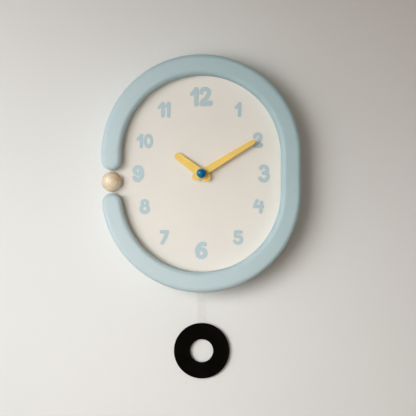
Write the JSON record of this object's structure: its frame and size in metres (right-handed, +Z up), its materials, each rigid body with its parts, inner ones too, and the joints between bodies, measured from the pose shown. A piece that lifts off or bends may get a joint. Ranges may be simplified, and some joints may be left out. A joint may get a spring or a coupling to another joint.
{
  "type": "pendulum wall clock",
  "caption": "Wall clock with a C-shaped rounded frame, a turned wooden ball held in the frame's gap, a recessed dial with rounded numerals, a battery movement and a swinging ring bob.",
  "frame": {"origin": "centre of the hanging hole, on the wall plane", "axes": "+X to the viewer's right, +Y into the wall, +Z up; the dial's centre is 126 mm below the origin"},
  "size_m": [0.2523, 0.0525, 0.415],
  "materials": {
    "frame_blue": "matte soft-touch",
    "cover_blue": "matte",
    "dial_cream": "matte",
    "turned_wood": "oiled",
    "hand_yellow": "matte painted",
    "cap_blue": "glossy",
    "bob_black": "matte",
    "clear_acrylic": "clear",
    "zinc_steel": "zinc plated",
    "nickel_spring": "nickel plated",
    "lamination": "dull",
    "brass": "satin",
    "copper_winding": "enamelled copper wire",
    "case_black": "fine texture",
    "acetal_white": "moulded",
    "rotor_grey": "moulded magnet",
    "knob_plastic": "moulded",
    "board_green": "solder resist",
    "chip_black": "epoxy",
    "battery_wrap": "printed-free sleeve",
    "rubber_black": "matte"
  },
  "bodies": {
    "clock": {"ball_bracket": "zinc_steel", "battery": "battery_wrap", "bracket_screws": "zinc_steel", "circuit_board": "board_green", "clock_chip": "chip_black", "cover_screws": "zinc_steel", "dial_plate": "dial_cream", "dial_screws": "zinc_steel", "frame_shell": "frame_blue", "hanger_plate": "zinc_steel", "hanger_screws": "zinc_steel", "mid_plate": "acetal_white", "motor_coil": "copper_winding", "motor_stator": "lamination", "mounting_nut": "brass", "movement_front_case": "case_black", "movement_rear_case": "case_black", "movement_screws": "zinc_steel", "negative_contact": "nickel_spring", "numeral_1": "frame_blue", "numeral_10": "frame_blue", "numeral_11": "frame_blue", "numeral_12": "frame_blue", "numeral_2": "frame_blue", "numeral_3": "frame_blue", "numeral_4": "frame_blue", "numeral_5": "frame_blue", "numeral_6": "frame_blue", "numeral_7": "frame_blue", "numeral_8": "frame_blue", "numeral_9": "frame_blue", "pendulum_coil": "copper_winding", "pivot_clip": "zinc_steel", "pivot_pin": "zinc_steel", "positive_contact": "nickel_spring", "quartz_crystal": "zinc_steel", "rear_cover_lower_left": "cover_blue", "rear_cover_right": "cover_blue", "rear_cover_upper_left": "cover_blue", "rubber_washer": "rubber_black", "wall_bumpers": "rubber_black", "wooden_ball": "turned_wood"},
    "minute_hand_set": {"minute_hand": "hand_yellow", "cap_ball": "cap_blue", "minute_arbor": "brass"},
    "hour_hand_set": {"hour_hand": "hand_yellow", "hour_wheel": "acetal_white"},
    "minute_work": {"minute_work_wheel": "acetal_white"},
    "setting": {"setting_knob": "knob_plastic"},
    "centre": {"centre_wheel": "acetal_white"},
    "third": {"third_wheel": "acetal_white"},
    "seconds": {"seconds_wheel": "acetal_white"},
    "intermediate": {"intermediate_wheel": "acetal_white"},
    "motor_rotor": {"rotor": "rotor_grey"},
    "pendulum": {"pendulum_leader": "case_black", "leader_magnet": "lamination", "pendulum_rod": "clear_acrylic", "rod_pins": "zinc_steel", "pendulum_bob": "bob_black"}
  },
  "joints": [
    {"name": "minute_hand_turn", "type": "hinge", "parent": "clock", "child": "minute_hand_set", "pos_m": [0, -0.03, -0.126], "axis": [0, 1, 0], "continuous": true},
    {"name": "hour_hand_turn", "type": "hinge", "parent": "clock", "child": "hour_hand_set", "pos_m": [0, -0.03, -0.126], "axis": [0, 1, 0], "continuous": true},
    {"name": "minute_work_turn", "type": "hinge", "parent": "clock", "child": "minute_work", "pos_m": [0.00866, -0.03, -0.121], "axis": [0, 1, 0], "continuous": true},
    {"name": "setting_knob_turn", "type": "hinge", "parent": "clock", "child": "setting", "pos_m": [0.01851, -0.03, -0.12274], "axis": [0, 1, 0], "continuous": true},
    {"name": "seconds_wheel_turn", "type": "hinge", "parent": "clock", "child": "seconds", "pos_m": [0, -0.03, -0.126], "axis": [0, 1, 0], "continuous": true},
    {"name": "centre_wheel_turn", "type": "hinge", "parent": "clock", "child": "centre", "pos_m": [0, -0.03, -0.126], "axis": [0, 1, 0], "continuous": true},
    {"name": "third_wheel_turn", "type": "hinge", "parent": "clock", "child": "third", "pos_m": [-0.01043, -0.03, -0.1232], "axis": [0, 1, 0], "continuous": true},
    {"name": "intermediate_wheel_turn", "type": "hinge", "parent": "clock", "child": "intermediate", "pos_m": [0.00562, -0.03, -0.1193], "axis": [0, 1, 0], "continuous": true},
    {"name": "rotor_turn", "type": "hinge", "parent": "clock", "child": "motor_rotor", "pos_m": [0.00677, -0.03, -0.1128], "axis": [0, 1, 0], "continuous": true},
    {"name": "pendulum_swing", "type": "hinge", "parent": "clock", "child": "pendulum", "pos_m": [0, -0.005, -0.083], "axis": [0, 1, 0], "range_deg": [-5.5, 5.5]}
  ],
  "couplings": [
    {"joint": "hour_hand_turn", "follows": "minute_hand_turn", "ratio": 0.083333},
    {"joint": "minute_work_turn", "follows": "minute_hand_turn", "ratio": -0.25},
    {"joint": "setting_knob_turn", "follows": "minute_hand_turn", "ratio": 1},
    {"joint": "third_wheel_turn", "follows": "seconds_wheel_turn", "ratio": -0.13333},
    {"joint": "centre_wheel_turn", "follows": "seconds_wheel_turn", "ratio": 0.016667},
    {"joint": "intermediate_wheel_turn", "follows": "seconds_wheel_turn", "ratio": -6},
    {"joint": "rotor_turn", "follows": "seconds_wheel_turn", "ratio": 30}
  ]
}
